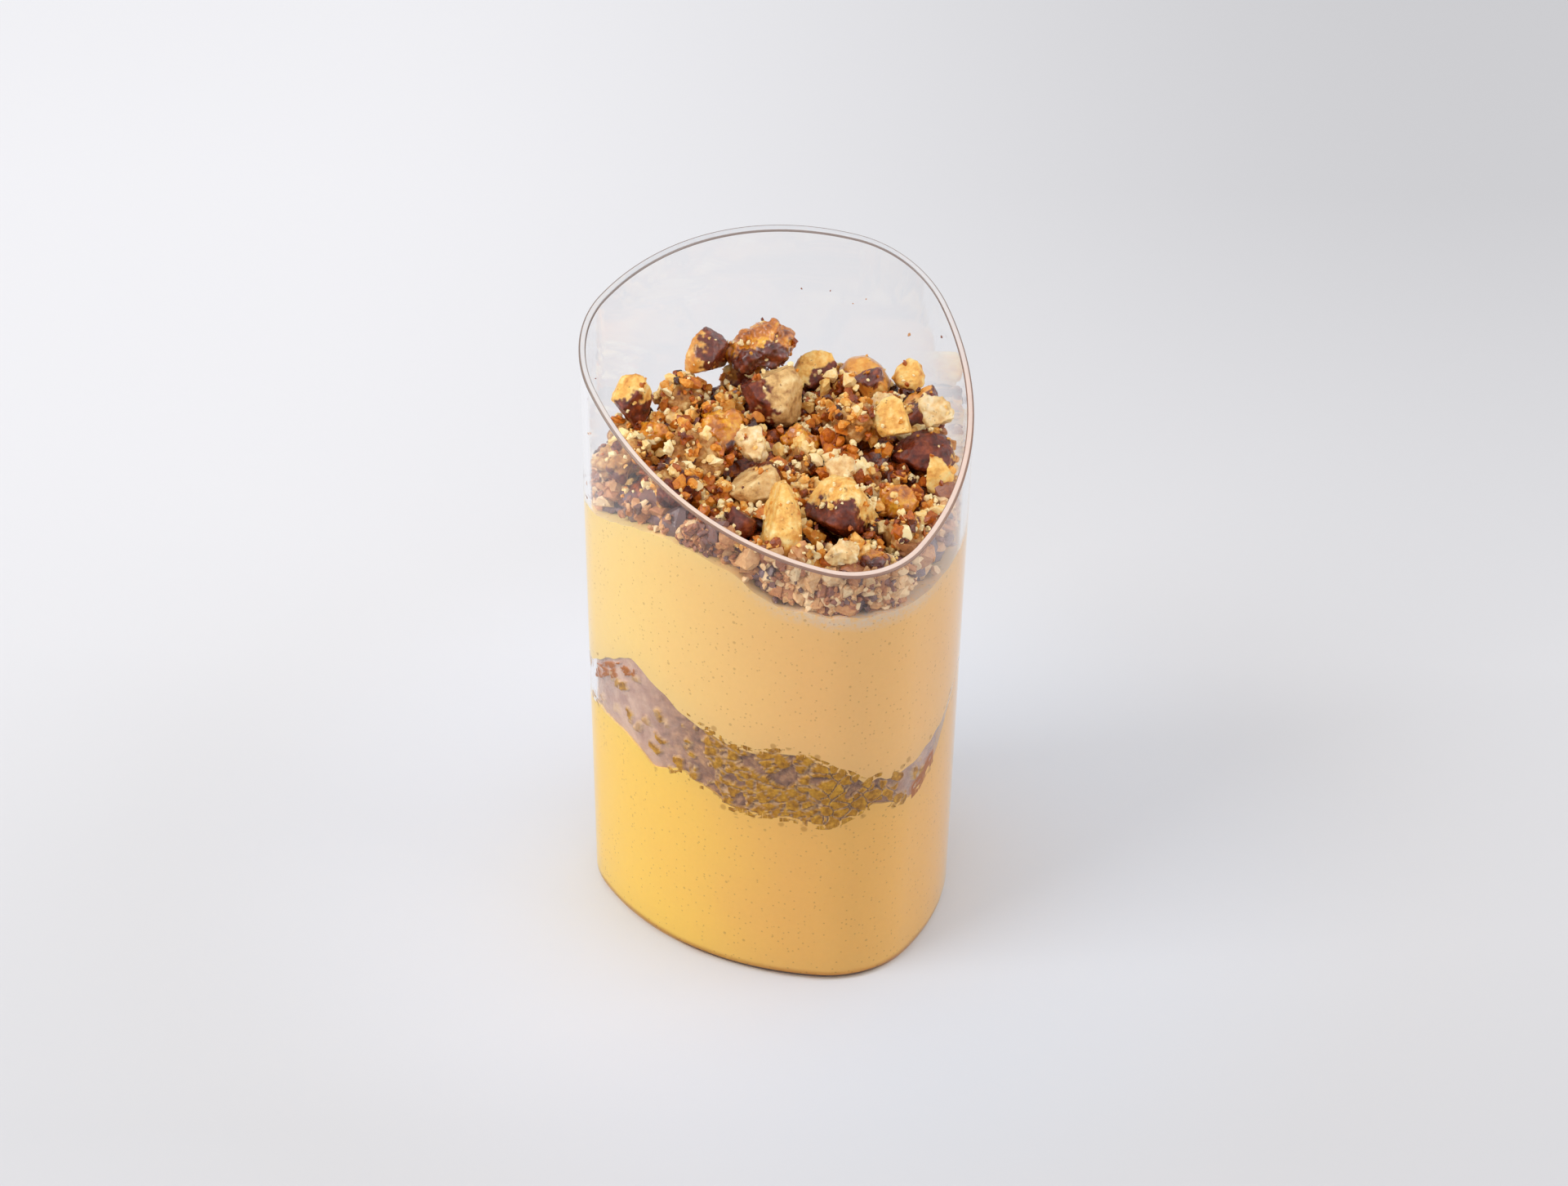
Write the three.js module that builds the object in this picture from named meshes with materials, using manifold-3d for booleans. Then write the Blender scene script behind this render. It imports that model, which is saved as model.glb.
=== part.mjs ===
// Dessert cup filled with two layers of mousse, a praline layer between them
// and a heap of chopped caramelised nuts. Millimetres, +Z up, cup standing on z = 0,
// low lip towards -Y.
import * as THREE from "three";
import { ConvexGeometry } from "three/addons/geometries/ConvexGeometry.js";
import { mergeVertices } from "three/addons/utils/BufferGeometryUtils.js";
import Module from "manifold-3d";

const wasm = await Module();
wasm.setup();

// Cup: one clear moulded body, a rounded triangle in plan, its mouth cut on a slant
const baseWidth = 52; // across the outline at table level, the same in every direction
const cornerRadius = 13.5;
const draftAngle = 1.3; // degrees, wall leaning outwards
const lipHeight = 72; // rim at the low corner
const backHeight = 96.5; // rim at the middle of the back
const wall = 1;
const rimRound = 0.3;
const heelRound = 1.5; // between the outer wall and the foot
const footWidth = 5; // flat ring that stands on the table
const footHeight = 0.3; // underside inside the ring, above the table
const floorThickness = 0.8;
const floorFillet = 1.2; // between the inner wall and the floor

// Everything that touches keeps this clearance
const contactGap = 0.3;

// Lower mousse
const lowerMousseDepth = 28.9;
const lowerMousseRise = 2; // how far it climbs the wall on its high side
const lowerMousseSide = { heading: 175, spread: 60 };

// Praline layer: a thin bed with a swell and a crest against the wall
const pralineDepth = 4.2;
const pralineSwell = 8;
const pralineSwellSide = { heading: 225, spread: 75 };
const pralineCrest = 7;
const pralineCrestSide = { heading: 187, spread: 25 };

// Upper mousse
const mousseHeadroom = 7.4; // from the low lip down to the mousse
const mousseClimb = 7.4; // how far it was smeared up the wall on its high side
const mousseClimbSide = { heading: 204, spread: 58 };

// Crumble: fine crumbs under and between the larger pieces
const crumbleDepth = 6;
const crumbleMound = 4.2; // extra depth in the middle
const crumbleLean = 1.2; // share of the mound that is moved from the front to the back
const crumbleClimb = 3.7; // how far it follows the mousse up the wall
const crumbLumpHeight = 0.6;
const crumbLumpSpacing = 7;
const nutSink = 0.38; // how deep a piece presses into the crumbs, as a share of their depth
const kernelWidth = 10; // whole hazelnut kernel, the measure for the pieces of the topping
const kernelPoint = 0.12; // how much a hazelnut narrows towards its tip, as a share of its width

// Facets
const cupSpokes = 72;
const fillSpokes = 48;
const arcSteps = 3;
const kernelSides = 8;
const kernelRings = 5;
const fillShares = [0.25, 0.5, 0.75, 0.92];
const crumbleShares = [0.16, 0.34, 0.52, 0.7, 0.86];

// Derived sizes of the outline
const radians = THREE.MathUtils.degToRad;
const draft = Math.tan(radians(draftAngle));
const sideRadius = baseWidth - cornerRadius;
const cornerDistance = (sideRadius - cornerRadius) / Math.sqrt(3);
const lipReach = cornerDistance + cornerRadius + draft * lipHeight;
const backReach = sideRadius - cornerDistance + draft * backHeight;
const rimSlope = (backHeight - lipHeight) / (lipReach + backReach);
const floorTop = footHeight + floorThickness;

// Point of the outline whose outward normal has this direction, moved out by an offset
function outlinePoint(angle, offset) {
  const thirdTurn = (2 * Math.PI) / 3;
  const lowCorner = -Math.PI / 2;
  const cornerAngle = lowCorner + thirdTurn * Math.round((angle - lowCorner) / thirdTurn);
  const past = angle - cornerAngle;
  const onCorner = Math.abs(past) <= Math.PI / 6;
  const centreAngle = onCorner ? cornerAngle : cornerAngle - Math.sign(past) * thirdTurn;
  const radius = (onCorner ? cornerRadius : sideRadius) + offset;
  return new THREE.Vector2(
    cornerDistance * Math.cos(centreAngle) + radius * Math.cos(angle),
    cornerDistance * Math.sin(centreAngle) + radius * Math.sin(angle),
  );
}

// Point at a height, inset from the drafted outer wall
function wallPoint(angle, inset, height) {
  const spot = outlinePoint(angle, draft * height - inset);
  return new THREE.Vector3(spot.x, spot.y, height);
}

// Point below the slanted rim plane, inset from the outer wall
function rimPoint(angle, inset, drop) {
  const spot = outlinePoint(angle, -inset);
  const level = lipHeight - drop + rimSlope * (spot.y + lipReach);
  return wallPoint(angle, inset, level / (1 - rimSlope * draft * Math.sin(angle)));
}

function ring(count, place) {
  return Array.from({ length: count }, (_, i) => place((2 * Math.PI * i) / count));
}

// Closed skin through rings of equal count, from a start point to an end point
function loft(rings, start, end) {
  const count = rings[0].length;
  const points = [start, ...rings.flat(), end];
  const index = [];
  const at = (level, spoke) => 1 + level * count + (spoke % count);
  for (let spoke = 0; spoke < count; spoke += 1) {
    index.push(0, at(0, spoke + 1), at(0, spoke));
    for (let level = 0; level + 1 < rings.length; level += 1) {
      index.push(at(level, spoke), at(level, spoke + 1), at(level + 1, spoke + 1));
      index.push(at(level, spoke), at(level + 1, spoke + 1), at(level + 1, spoke));
    }
    index.push(points.length - 1, at(rings.length - 1, spoke), at(rings.length - 1, spoke + 1));
  }
  const geometry = new THREE.BufferGeometry().setFromPoints(points);
  geometry.setIndex(index);
  return geometry;
}

function quarterTurn() {
  return Array.from({ length: arcSteps + 1 }, (_, i) => (Math.PI / 2) * (i / arcSteps));
}

// Rings of the rounded floor inside the cup, from the floor's edge up to the wall
function floorRings(count, gap) {
  return quarterTurn().map((turn) => {
    const inset = wall + gap + floorFillet * (1 - Math.sin(turn));
    const height = floorTop + gap + floorFillet * (1 - Math.cos(turn));
    return ring(count, (angle) => wallPoint(angle, inset, height));
  });
}

function cupGeometry() {
  const round = Math.min(rimRound, wall / 2);
  const footInside = heelRound + footWidth;
  const heel = quarterTurn().map((turn) => {
    const inset = heelRound * (1 - Math.sin(turn));
    const height = heelRound * (1 - Math.cos(turn));
    return ring(cupSpokes, (angle) => wallPoint(angle, inset, height));
  });
  const soften = round * (1 - Math.SQRT1_2);
  const rimProfile = [
    [0, round],
    [soften, soften],
    [round, 0],
    [wall - round, 0],
    [wall - soften, soften],
    [wall, round],
  ];
  const rim = rimProfile.map(([inset, drop]) =>
    ring(cupSpokes, (angle) => rimPoint(angle, inset, drop)),
  );
  const rings = [
    ring(cupSpokes, (angle) => wallPoint(angle, footInside + footHeight, footHeight)),
    ring(cupSpokes, (angle) => wallPoint(angle, footInside, 0)),
    ...heel,
    ...rim,
    ...floorRings(cupSpokes, 0).reverse(),
  ];
  return loft(rings, new THREE.Vector3(0, 0, footHeight), new THREE.Vector3(0, 0, floorTop));
}

// Raised-cosine swelling round a heading, 1 at its middle and 0 beyond its spread
function swelling(spot, side) {
  const away = radians(side.heading) - Math.atan2(spot.y, spot.x);
  const wrapped = Math.atan2(Math.sin(away), Math.cos(away));
  const phase = Math.min(Math.abs(wrapped) / radians(side.spread), 1);
  return Math.cos((Math.PI / 2) * phase) ** 2;
}

// Heights of the surfaces between the layers; share is 0 at the axis and 1 at the wall
function lowerMousseTop(spot, share) {
  return floorTop + lowerMousseDepth + share * lowerMousseRise * swelling(spot, lowerMousseSide);
}

function pralineTop(spot, share) {
  const swell = pralineSwell * swelling(spot, pralineSwellSide);
  const crest = pralineCrest * swelling(spot, pralineCrestSide);
  return lowerMousseTop(spot, share) + pralineDepth + share * (swell + crest * share);
}

function upperMousseTop(spot, share) {
  const climb = mousseClimb * swelling(spot, mousseClimbSide);
  return lipHeight - mousseHeadroom + share * share * climb;
}

function crumbleTop(spot, share) {
  const wave = (2 * Math.PI) / crumbLumpSpacing;
  const lump = crumbLumpHeight * Math.sin(wave * spot.x) * Math.cos(wave * spot.y);
  const climb = crumbleClimb * swelling(spot, mousseClimbSide);
  const mound = crumbleMound * (1 - share ** 4) * (1 + (crumbleLean * spot.y) / backReach);
  return lipHeight - mousseHeadroom + crumbleDepth + mound + share * share * climb + lump;
}

// Surface that the larger pieces come to rest on, pressed down into the crumbs
function pressedTop(spot, share) {
  const bottom = upperMousseTop(spot, share) + contactGap;
  return bottom + (1 - nutSink) * (crumbleTop(spot, share) - bottom);
}

// Point of a surface inside the cup, clear of the wall
function surfacePoint(angle, share, surface, raise) {
  const height = surface(outlinePoint(angle, 0).multiplyScalar(share), share) + raise;
  const spot = outlinePoint(angle, draft * height - wall - contactGap).multiplyScalar(share);
  return new THREE.Vector3(spot.x, spot.y, height);
}

function surfaceRings(shares, surface, raise) {
  return shares.map((share) =>
    ring(fillSpokes, (angle) => surfacePoint(angle, share, surface, raise)),
  );
}

// Solid between two surfaces, filling the cup from wall to wall
function layerGeometry(shares, bottom, top) {
  const outward = [...shares, 1];
  const rings = [
    ...surfaceRings(outward, bottom, contactGap),
    ...surfaceRings(outward, top, 0).reverse(),
  ];
  return loft(rings, surfacePoint(0, 0, bottom, contactGap), surfacePoint(0, 0, top, 0));
}

function lowerMousseGeometry() {
  const rings = [
    ...floorRings(fillSpokes, contactGap),
    ...surfaceRings([...fillShares, 1], lowerMousseTop, 0).reverse(),
  ];
  const floorCentre = new THREE.Vector3(0, 0, floorTop + contactGap);
  return loft(rings, floorCentre, surfacePoint(0, 0, lowerMousseTop, 0));
}

// Closed solid for cutting and joining, from a geometry's positions alone
function toSolid(geometry) {
  const bare = new THREE.BufferGeometry();
  bare.setAttribute("position", geometry.getAttribute("position"));
  bare.setIndex(geometry.getIndex());
  const merged = mergeVertices(bare);
  const corners = merged.getIndex().array;
  const triVerts = [];
  for (let i = 0; i < corners.length; i += 3) {
    const [a, b, c] = corners.slice(i, i + 3);
    if (a !== b && b !== c && c !== a) triVerts.push(a, b, c);
  }
  const mesh = new wasm.Mesh({
    numProp: 3,
    vertProperties: new Float32Array(merged.getAttribute("position").array),
    triVerts: new Uint32Array(triVerts),
  });
  return new wasm.Manifold(mesh);
}

function toGeometry(solid) {
  const mesh = solid.getMesh();
  const geometry = new THREE.BufferGeometry();
  geometry.setAttribute("position", new THREE.BufferAttribute(mesh.vertProperties, 3));
  geometry.setIndex(new THREE.BufferAttribute(mesh.triVerts, 1));
  return geometry;
}

// Breaks across a kernel one unit long: direction of the break, and how far out it lies
const breaks = {
  half: [[0, 0.1, -1, 0.04]],
  chunk: [
    [0.2, 0.3, -1, 0.14],
    [1, 0.3, 0.25, 0.2],
    [-0.5, 1, 0.4, 0.26],
  ],
  sliver: [
    [1, 0.1, 0.15, 0.26],
    [-1, 0.2, 0, 0.24],
    [0.2, -0.3, -1, 0.3],
  ],
  lump: [
    [0.9, 0.3, 0.5, 0.34],
    [-0.7, 0.5, 0.4, 0.33],
    [0.1, -0.9, 0.5, 0.34],
    [0.2, 0.4, -0.9, 0.3],
    [-0.5, -0.6, -0.4, 0.36],
  ],
};

// Hazelnut kernel, one unit each way, a little pointed at the tip
function kernelGeometry() {
  const profile = Array.from({ length: kernelRings + 1 }, (_, i) => {
    const turn = (Math.PI * i) / kernelRings;
    const tip = 1 - kernelPoint * Math.cos(turn);
    return new THREE.Vector2((Math.sin(turn) * tip) / 2, -Math.cos(turn) / 2);
  });
  profile[0].x = 0;
  profile[kernelRings].x = 0;
  return new THREE.LatheGeometry(profile, kernelSides);
}

function brokenKernel(form) {
  const wasteSize = 2; // block wider than the kernel, standing beyond the break
  let kernel = toSolid(kernelGeometry());
  for (const [x, y, z, reach] of breaks[form]) {
    const facing = new THREE.Vector3(x, y, z).normalize();
    const waste = new THREE.BoxGeometry(wasteSize, wasteSize, wasteSize);
    const turn = new THREE.Quaternion().setFromUnitVectors(new THREE.Vector3(0, 0, 1), facing);
    waste.applyQuaternion(turn);
    waste.translate(...facing.multiplyScalar(wasteSize / 2 + reach).toArray());
    kernel = kernel.subtract(toSolid(waste));
  }
  const geometry = toGeometry(kernel);
  geometry.center();
  return geometry;
}

// The same convex piece grown so that every face stands off by the contact gap
function grown(geometry) {
  const flat = geometry.toNonIndexed();
  flat.computeVertexNormals();
  const position = flat.getAttribute("position");
  const normal = flat.getAttribute("normal");
  let nearest = Infinity;
  for (let i = 0; i < position.count; i += 3) {
    const point = new THREE.Vector3().fromBufferAttribute(position, i);
    nearest = Math.min(nearest, point.dot(new THREE.Vector3().fromBufferAttribute(normal, i)));
  }
  const factor = 1 + contactGap / nearest;
  return geometry.clone().scale(factor, factor, factor);
}

// Lets a piece down over its spot until its clearance meets the heap below
function restingHeight(piece, spot, heap) {
  const stride = 0.5;
  const halvings = 5;
  const overlaps = (height) =>
    !toSolid(piece.clone().translate(spot.x, spot.y, height)).intersect(heap).isEmpty();
  let clear = backHeight;
  while (!overlaps(clear - stride)) clear -= stride;
  let blocked = clear - stride;
  for (let halving = 0; halving < halvings; halving += 1) {
    const middle = (clear + blocked) / 2;
    if (overlaps(middle)) blocked = middle;
    else clear = middle;
  }
  return clear;
}

// Room that a piece opens in the crumbs as it comes down: the piece swept up to the rim
function pathDown(piece, height) {
  const corners = piece.getAttribute("position");
  const points = [];
  for (let i = 0; i < corners.count; i += 1) {
    const corner = new THREE.Vector3().fromBufferAttribute(corners, i);
    points.push(corner, corner.clone().setZ(corner.z + backHeight - height));
  }
  return new ConvexGeometry(points);
}

// Larger pieces in the order they fall: how each broke, its size in kernel widths along x, y
// and z before turning, its turns about x, y and z, and its spot as outline direction and
// reach to the wall
const toppings = [
  { name: "hazelnut_half_1", form: "half", size: [0.8, 0.85, 0.85], turn: [10, 20, 50], spot: [51, 1] },
  { name: "nut_sliver_4", form: "sliver", size: [0.55, 0.55, 0.5], turn: [20, 70, 0], spot: [14, 1] },
  { name: "hazelnut_half_2", form: "half", size: [1, 0.75, 0.8], turn: [-15, 10, 20], spot: [338, 1] },
  { name: "hazelnut_half_3", form: "half", size: [0.85, 0.8, 0.8], turn: [150, 20, 10], spot: [214, 0.54] },
  { name: "hazelnut_chunk_1", form: "chunk", size: [1.1, 1, 0.9], turn: [20, 40, 10], spot: [84, 0.55] },
  { name: "hazelnut_chunk_2", form: "chunk", size: [0.75, 0.7, 0.7], turn: [200, 20, 40], spot: [68, 0.84] },
  { name: "hazelnut_chunk_3", form: "chunk", size: [0.6, 0.6, 0.6], turn: [160, 10, 80], spot: [24, 0.76] },
  { name: "hazelnut_chunk_4", form: "chunk", size: [0.95, 0.75, 0.7], turn: [150, 30, 10], spot: [353, 1] },
  { name: "praline_lump_9", form: "lump", size: [0.55, 0.5, 0.45], turn: [20, 30, 80], spot: [124, 1] },
  { name: "hazelnut_chunk_5", form: "chunk", size: [0.6, 0.65, 0.9], turn: [170, 15, 60], spot: [122, 1] },
  { name: "hazelnut_chunk_6", form: "chunk", size: [0.6, 0.55, 0.55], turn: [70, 10, 30], spot: [218, 0.9] },
  { name: "hazelnut_chunk_7", form: "chunk", size: [0.65, 0.7, 0.6], turn: [200, 40, 0], spot: [340, 0.7] },
  { name: "hazelnut_chunk_8", form: "chunk", size: [0.55, 0.7, 0.5], turn: [60, 60, 20], spot: [327, 1] },
  { name: "praline_lump_1", form: "lump", size: [1.2, 0.95, 0.85], turn: [10, 20, 30], spot: [279, 0.68] },
  { name: "praline_lump_2", form: "lump", size: [0.95, 0.75, 0.65], turn: [30, 10, 20], spot: [107, 0.94] },
  { name: "praline_lump_3", form: "lump", size: [0.9, 0.9, 0.7], turn: [15, 40, 70], spot: [188, 0.66] },
  { name: "praline_lump_4", form: "lump", size: [0.7, 0.6, 0.6], turn: [50, 10, 40], spot: [24, 0.48] },
  { name: "praline_lump_5", form: "lump", size: [0.65, 0.6, 0.55], turn: [0, 50, 40], spot: [348, 0.46] },
  { name: "praline_lump_6", form: "lump", size: [0.8, 0.7, 0.65], turn: [40, 30, 0], spot: [178, 1] },
  { name: "praline_lump_7", form: "lump", size: [0.8, 0.75, 0.6], turn: [20, 60, 30], spot: [200, 1] },
  { name: "praline_lump_8", form: "lump", size: [0.8, 0.7, 0.65], turn: [10, 10, 0], spot: [86, 1] },
  { name: "praline_lump_10", form: "lump", size: [0.6, 0.55, 0.5], turn: [40, 0, 30], spot: [304, 0.96] },
  { name: "caramel_lump_1", form: "lump", size: [0.8, 0.7, 0.65], turn: [20, 30, 60], spot: [118, 0.44] },
  { name: "caramel_lump_2", form: "lump", size: [0.6, 0.55, 0.55], turn: [50, 20, 10], spot: [314, 0.8] },
  { name: "caramel_lump_3", form: "lump", size: [0.5, 0.45, 0.45], turn: [10, 50, 20], spot: [273, 1] },
  { name: "caramel_lump_4", form: "lump", size: [0.6, 0.55, 0.5], turn: [70, 10, 50], spot: [40, 0.14] },
  { name: "caramel_lump_5", form: "lump", size: [0.6, 0.55, 0.5], turn: [30, 20, 0], spot: [140, 0.78] },
  { name: "nut_crumb_1", form: "chunk", size: [0.65, 0.6, 0.6], turn: [190, 20, 30], spot: [196, 0.28] },
  { name: "nut_crumb_2", form: "chunk", size: [0.5, 0.5, 0.5], turn: [180, 60, 0], spot: [357, 0.7] },
  { name: "nut_crumb_3", form: "chunk", size: [0.65, 0.55, 0.5], turn: [210, 10, 70], spot: [344, 0.97] },
  { name: "nut_crumb_4", form: "chunk", size: [0.6, 0.55, 0.55], turn: [170, 40, 20], spot: [270, 0.12] },
  { name: "nut_crumb_5", form: "chunk", size: [0.55, 0.55, 0.5], turn: [200, 0, 50], spot: [306, 0.42] },
  { name: "nut_crumb_6", form: "chunk", size: [0.45, 0.4, 0.4], turn: [160, 30, 0], spot: [320, 0.56] },
  { name: "nut_sliver_1", form: "sliver", size: [0.8, 1.15, 0.7], turn: [50, 0, -20], spot: [228, 0.95] },
  { name: "nut_sliver_2", form: "sliver", size: [0.6, 0.5, 0.4], turn: [10, 20, 40], spot: [246, 0.87] },
  { name: "nut_sliver_3", form: "sliver", size: [0.6, 0.55, 0.35], turn: [15, 0, 70], spot: [252, 1] },
  { name: "caramel_lump_6", form: "lump", size: [0.9, 0.8, 0.7], turn: [40, 20, 30], spot: [81, 0.94] },
  { name: "hazelnut_half_4", form: "half", size: [0.8, 0.75, 0.75], turn: [80, 10, 70], spot: [97, 0.97] },
];

const looks = {
  cup: { color: 0xf2f4f6, roughness: 0.06, metalness: 0, opacity: 0.3, transparent: true },
  lower_mousse: { color: 0xe8b45c, roughness: 0.6, metalness: 0 },
  upper_mousse: { color: 0xe6bd77, roughness: 0.6, metalness: 0 },
  praline_layer: { color: 0xa0804f, roughness: 0.8, metalness: 0 },
  crumble_bed: { color: 0xb98645, roughness: 0.85, metalness: 0 },
  hazelnut_chunk: { color: 0xd99a45, roughness: 0.55, metalness: 0 },
  hazelnut_half: { color: 0x8a3f1e, roughness: 0.5, metalness: 0 },
  nut_sliver: { color: 0xe2c078, roughness: 0.6, metalness: 0 },
  nut_crumb: { color: 0xe6d6a4, roughness: 0.7, metalness: 0 },
  praline_lump: { color: 0xb9803c, roughness: 0.75, metalness: 0 },
  caramel_lump: { color: 0x9c4d14, roughness: 0.3, metalness: 0 },
};

function piece(name, geometry, look) {
  const mesh = new THREE.Mesh(geometry, new THREE.MeshStandardMaterial(looks[look]));
  mesh.name = name;
  return mesh;
}

// Heap of pieces on the crumbs, each pocketed in the bed that it presses into
function toppingPieces() {
  let heap = toSolid(layerGeometry(crumbleShares, upperMousseTop, pressedTop));
  let bed = toSolid(layerGeometry(crumbleShares, upperMousseTop, crumbleTop));
  const pieces = [];
  for (const { name, form, size, turn, spot } of toppings) {
    const nut = brokenKernel(form).scale(...size.map((share) => share * kernelWidth));
    nut.applyMatrix4(new THREE.Matrix4().makeRotationFromEuler(new THREE.Euler(...turn.map(radians))));
    nut.center();
    nut.computeBoundingSphere();
    const stance = nut.boundingSphere.radius + wall + contactGap - draft * lipHeight;
    const [direction, reach] = spot;
    const place = outlinePoint(radians(direction), -stance).multiplyScalar(reach);
    const clearance = grown(nut);
    const height = restingHeight(clearance, place, heap);
    nut.translate(place.x, place.y, height);
    heap = heap.add(toSolid(nut));
    clearance.translate(place.x, place.y, height);
    bed = bed.subtract(toSolid(pathDown(clearance, height)));
    pieces.push(piece(name, nut, name.replace(/_\d+$/, "")));
  }
  return [piece("crumble_bed", toGeometry(bed), "crumble_bed"), ...pieces];
}

const dessert = new THREE.Group();
dessert.name = "dessert_cup";
dessert.position.y = (lipReach - backReach) / 2; // centre of the whole cup's plan box on the axis
dessert.add(
  piece("cup", cupGeometry(), "cup"),
  piece("lower_mousse", lowerMousseGeometry(), "lower_mousse"),
  piece("praline_layer", layerGeometry(fillShares, lowerMousseTop, pralineTop), "praline_layer"),
  piece("upper_mousse", layerGeometry(fillShares, pralineTop, upperMousseTop), "upper_mousse"),
  ...toppingPieces(),
);

export default dessert;
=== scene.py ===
import math
import random

import bmesh
import bpy
from mathutils import Euler, Matrix, Vector, noise
from mathutils.bvhtree import BVHTree


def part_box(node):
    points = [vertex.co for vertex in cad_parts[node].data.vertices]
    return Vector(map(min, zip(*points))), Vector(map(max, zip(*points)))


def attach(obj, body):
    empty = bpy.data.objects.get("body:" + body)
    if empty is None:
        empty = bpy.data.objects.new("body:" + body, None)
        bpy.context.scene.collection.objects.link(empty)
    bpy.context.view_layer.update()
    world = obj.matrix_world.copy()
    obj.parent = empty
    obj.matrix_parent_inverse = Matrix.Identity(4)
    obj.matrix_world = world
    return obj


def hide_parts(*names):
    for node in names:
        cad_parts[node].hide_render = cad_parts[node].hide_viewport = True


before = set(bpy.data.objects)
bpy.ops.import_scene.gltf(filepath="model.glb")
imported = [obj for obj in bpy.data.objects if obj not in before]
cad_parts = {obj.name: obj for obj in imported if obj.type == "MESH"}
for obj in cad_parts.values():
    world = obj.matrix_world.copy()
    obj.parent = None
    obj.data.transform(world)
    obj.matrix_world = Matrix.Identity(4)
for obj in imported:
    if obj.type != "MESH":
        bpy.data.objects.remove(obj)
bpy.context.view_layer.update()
mm = 0.001
print("frame loaded:", len(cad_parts), "nodes")


# Small helpers

def restart():
    active = bpy.context.view_layer.objects.active
    if active and active.mode != "OBJECT":
        bpy.ops.object.mode_set(mode="OBJECT")
    bpy.ops.object.select_all(action="DESELECT")


def pick(obj):
    restart()
    obj.select_set(True)
    bpy.context.view_layer.objects.active = obj


def editAll(obj):
    pick(obj)
    bpy.ops.object.mode_set(mode="EDIT")
    bpy.ops.mesh.select_all(action="SELECT")


def leaveEdit():
    bpy.ops.object.mode_set(mode="OBJECT")


def modify(obj, kind, **settings):
    pick(obj)
    modifier = obj.modifiers.new(kind.title(), kind)
    for name, value in settings.items():
        setattr(modifier, name, value)
    bpy.ops.object.modifier_apply(modifier=modifier.name)


def tidyMesh(obj, distance=0.001 * mm):
    editAll(obj)
    bpy.ops.mesh.remove_doubles(threshold=distance)
    bpy.ops.mesh.normals_make_consistent(inside=False)
    leaveEdit()


def smooth(obj, angle=180):
    pick(obj)
    bpy.ops.object.shade_smooth_by_angle(angle=math.radians(angle))


def dress(obj, material):
    obj.data.materials.clear()
    obj.data.materials.append(material)


def declare(obj, slot, *nodes):
    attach(obj, "root")
    if nodes:
        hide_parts(*nodes)


def paint(obj, name, values):
    layer = obj.data.attributes.new(name, "FLOAT", "POINT")
    layer.data.foreach_set("value", values)


def between(value, low, high):
    share = min(max((value - low) / (high - low), 0.0), 1.0)
    return share * share * (3 - 2 * share)


# Node helpers for materials

def tint(red, green, blue):
    def straight(level):
        share = level / 255
        return share / 12.92 if share <= 0.04045 else ((share + 0.055) / 1.055) ** 2.4
    return (straight(red), straight(green), straight(blue), 1.0)


def newMaterial(name, **shader):
    material = bpy.data.materials.new(name)
    material.use_nodes = True
    tree = material.node_tree
    body = tree.nodes["Principled BSDF"]
    for socket, value in shader.items():
        body.inputs[socket.replace("_", " ")].default_value = value
    return material, tree, body


def node(tree, kind, inputs=None, **settings):
    made = tree.nodes.new("ShaderNode" + kind)
    for name, value in settings.items():
        setattr(made, name, value)
    for name, value in (inputs or {}).items():
        if hasattr(value, "is_output"):
            tree.links.new(value, made.inputs[name])
        else:
            made.inputs[name].default_value = value
    return made


def objectPlace(tree):
    return node(tree, "TexCoord").outputs["Object"]


def readPaint(tree, name):
    return node(tree, "Attribute", attribute_name=name).outputs["Fac"]


def grain(tree, place, size, detail=3.0, roughness=0.55, distortion=0.0):
    made = node(tree, "TexNoise", {
        "Vector": place, "Scale": 1 / (size * mm), "Detail": detail,
        "Roughness": roughness, "Distortion": distortion,
    })
    return made.outputs["Fac"]


def ramp(tree, factor, stops):
    made = node(tree, "ValToRGB", {"Fac": factor})
    marks = made.color_ramp.elements
    while len(marks) < len(stops):
        marks.new(1.0)
    for mark, (position, colour) in zip(marks, stops):
        mark.position = position
        mark.color = colour if len(colour) == 4 else (*colour, 1.0)
    return made.outputs["Color"]


def step(tree, factor, low, high):
    made = node(tree, "MapRange", {
        "Value": factor, "From Min": low, "From Max": high,
    }, interpolation_type="SMOOTHSTEP")
    return made.outputs["Result"]


def blendColour(tree, factor, first, second, mode="MIX"):
    made = node(tree, "MixRGB", {"Fac": factor, "Color1": first, "Color2": second}, blend_type=mode)
    return made.outputs["Color"]


def sums(tree, operation, first, second):
    made = node(tree, "Math", {0: first, 1: second}, operation=operation)
    return made.outputs["Value"]


def bubbles(tree, place, size, share, reach):
    # small dots, one in some of the cells of a given size
    cells = node(tree, "TexVoronoi", {"Vector": place, "Scale": 1 / (size * mm)})
    chance = node(tree, "SeparateColor", {0: cells.outputs["Color"]}).outputs[0]
    dot = step(tree, cells.outputs["Distance"], reach, reach * 0.5)
    return sums(tree, "MULTIPLY", dot, sums(tree, "LESS_THAN", chance, share))


def bump(tree, body, height, distance, strength=1.0):
    made = node(tree, "Bump", {"Height": height, "Distance": distance * mm, "Strength": strength})
    tree.links.new(made.outputs["Normal"], body.inputs["Normal"])


# Camera, at the angle of the photograph

view = dict(
    azimuth=25.6, pitch=34.656, roll=0.805,  # degrees
    lens=138.81, sensor=36.0,  # on a frame of 1920 x 1452
    place=(-310.16, -644.28, 545.49),
)


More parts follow.
